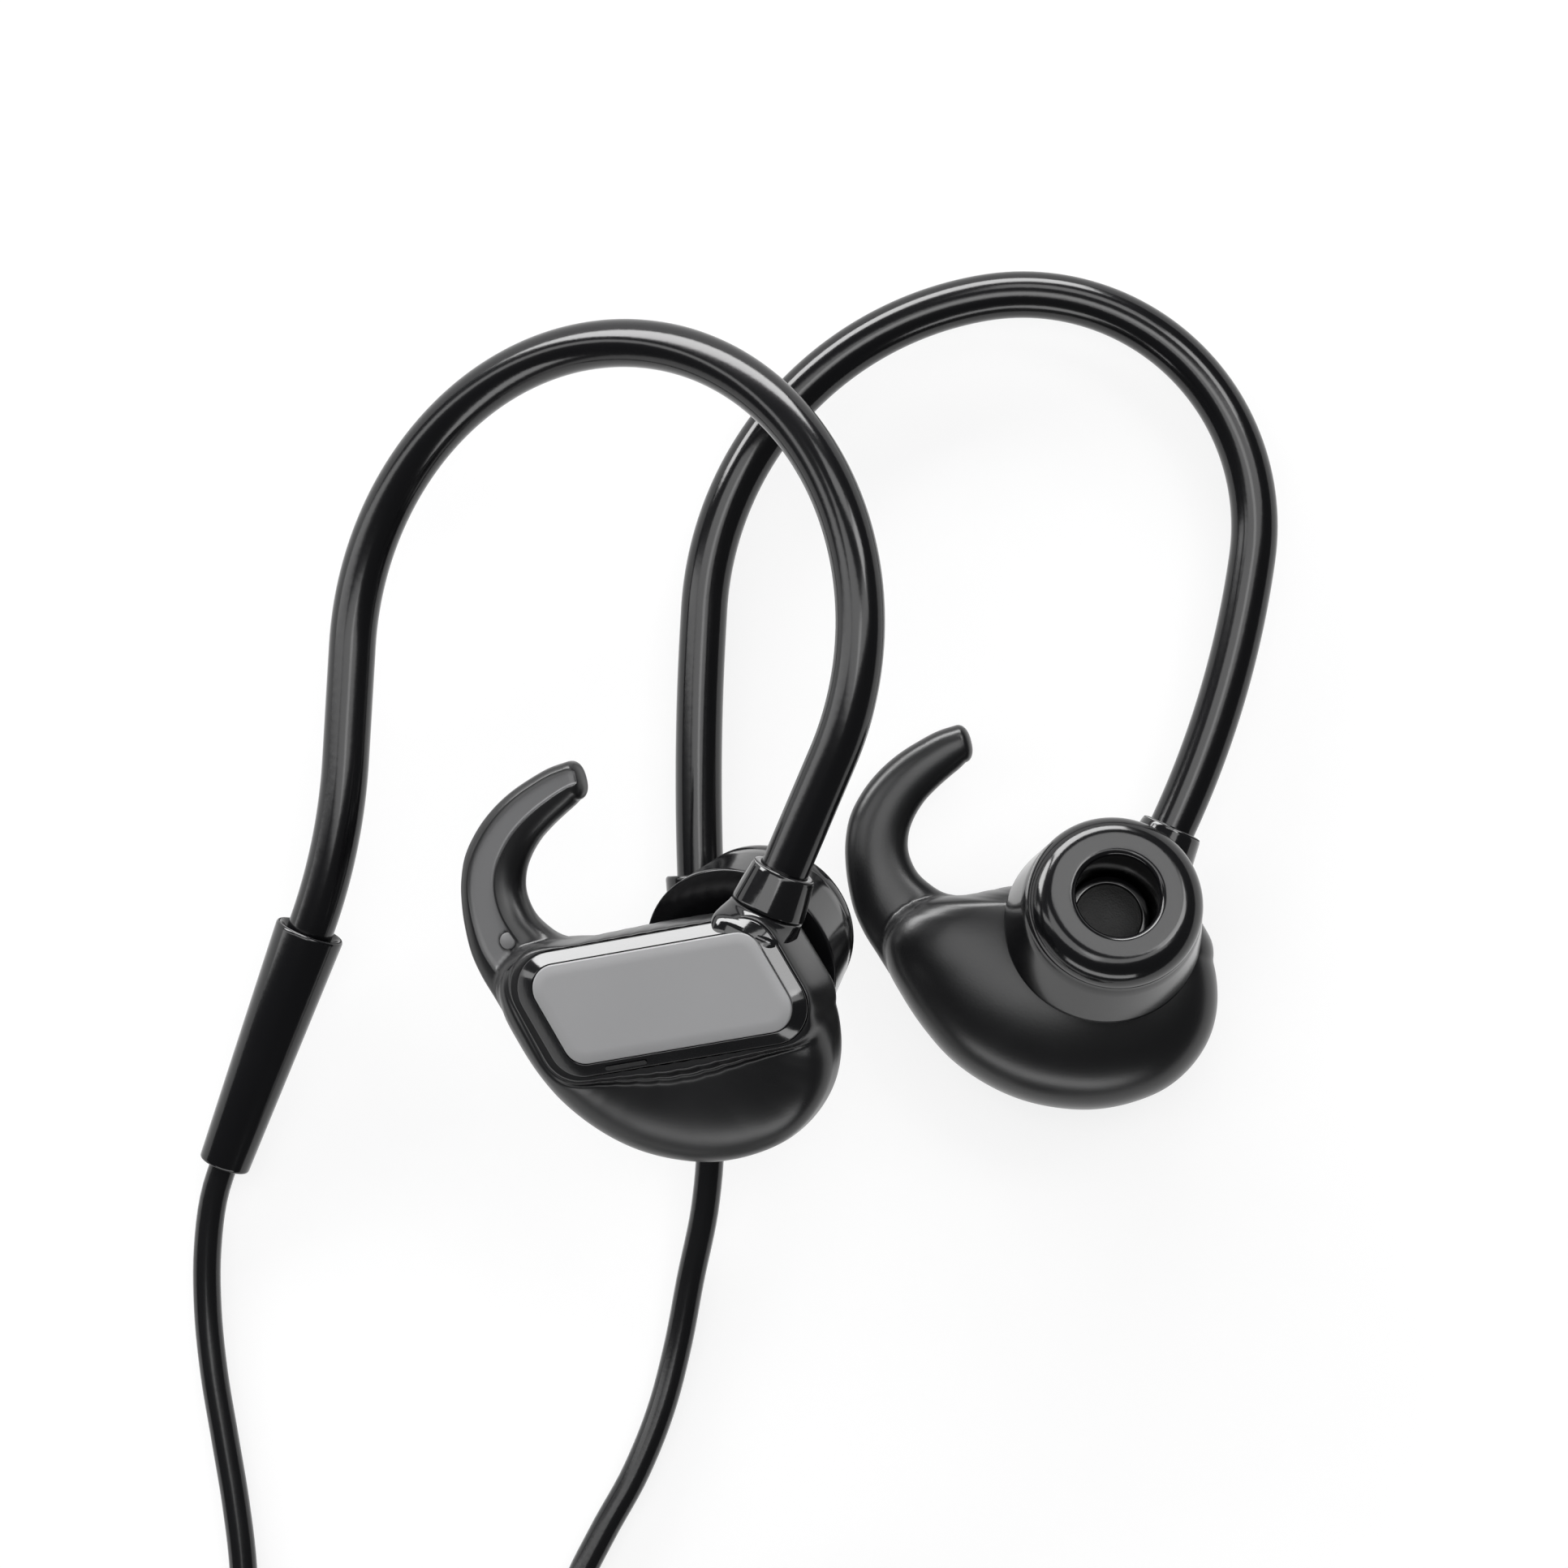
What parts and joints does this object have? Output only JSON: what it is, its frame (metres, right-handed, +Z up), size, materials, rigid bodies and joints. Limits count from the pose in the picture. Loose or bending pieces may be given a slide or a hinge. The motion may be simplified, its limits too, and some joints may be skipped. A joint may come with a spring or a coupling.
{
  "type": "wired sports earphones",
  "caption": "Wired sports earphones with over-ear hooks, winged silicone covers, mushroom ear tips, a Y cable wound in tied coils and a 3.5 mm stereo plug.",
  "frame": {"origin": "bottom centre of the box round the two earpieces and their hooks and sleeves, without the thin cables and plug: z = 0 is the table that they lie on", "axes": "+Z up from the table, +Y towards the tops of the ear hooks, +X towards the right-hand earpiece, which lies on its face plate"},
  "size_m": [0.0697, 0.1719, 0.0263],
  "materials": {
    "silicone_cover": "satin black silicone",
    "peg_plastic": "matte dark grey",
    "gloss_shell": "polished black",
    "grey_plate": "satin mid grey",
    "vent_cloth": "fine black mesh",
    "rear_shell": "polished black",
    "mesh": "fine dark metal mesh",
    "driver_metal": "plain stamped steel",
    "magnet_metal": "nickel plated",
    "diaphragm_film": "thin film",
    "tip_silicone": "glossy black silicone",
    "collar_plastic": "glossy black",
    "hook_rubber": "glossy black elastomer",
    "memory_wire": "bright drawn wire",
    "sleeve_rubber": "glossy black elastomer",
    "cable": "smooth black jacket",
    "tie_band": "matte black band",
    "splitter_rubber": "satin black",
    "relief_rubber": "satin black",
    "grip_plastic": "glossy black",
    "plug_metal": "gold plated",
    "insulator": "black"
  },
  "bodies": {
    "root": {"left_cover": "silicone_cover", "left_wing_peg": "peg_plastic", "left_face_shell": "gloss_shell", "left_face_plate": "grey_plate", "left_vent_mesh": "vent_cloth", "left_rear_shell": "rear_shell", "left_nozzle_mesh": "mesh", "left_driver_frame": "driver_metal", "left_magnet": "magnet_metal", "left_diaphragm": "diaphragm_film", "left_collar": "collar_plastic", "left_hook_tube": "hook_rubber", "left_hook_wire": "memory_wire", "left_sleeve": "sleeve_rubber", "right_cover": "silicone_cover", "right_wing_peg": "peg_plastic", "right_face_shell": "gloss_shell", "right_face_plate": "grey_plate", "right_vent_mesh": "vent_cloth", "right_rear_shell": "rear_shell", "right_nozzle_mesh": "mesh", "right_driver_frame": "driver_metal", "right_magnet": "magnet_metal", "right_diaphragm": "diaphragm_film", "right_collar": "collar_plastic", "right_hook_tube": "hook_rubber", "right_hook_wire": "memory_wire", "right_sleeve": "sleeve_rubber", "left_lead": "cable", "left_coil": "cable", "left_tail": "cable", "right_lead": "cable", "right_coil": "cable", "right_tail": "cable", "main_lead": "cable", "main_coil": "cable", "main_tail": "cable", "left_coil_tie": "tie_band", "right_coil_tie": "tie_band", "main_coil_tie": "tie_band", "splitter": "splitter_rubber", "plug_relief": "relief_rubber", "plug_grip": "grip_plastic", "plug_sleeve": "plug_metal", "plug_ring": "plug_metal", "plug_insulators": "insulator", "plug_tip": "plug_metal"},
    "left_tip": {"left_ear_tip": "tip_silicone"},
    "right_tip": {"right_ear_tip": "tip_silicone"}
  },
  "joints": [
    {"name": "left_tip_slide", "type": "slide", "parent": "root", "child": "left_tip", "axis": [0.3568, 0.3952, -0.8465], "range_m": [0, 0.003]},
    {"name": "right_tip_slide", "type": "slide", "parent": "root", "child": "right_tip", "axis": [0.0937, 0.3305, 0.9391], "range_m": [0, 0.003]}
  ]
}
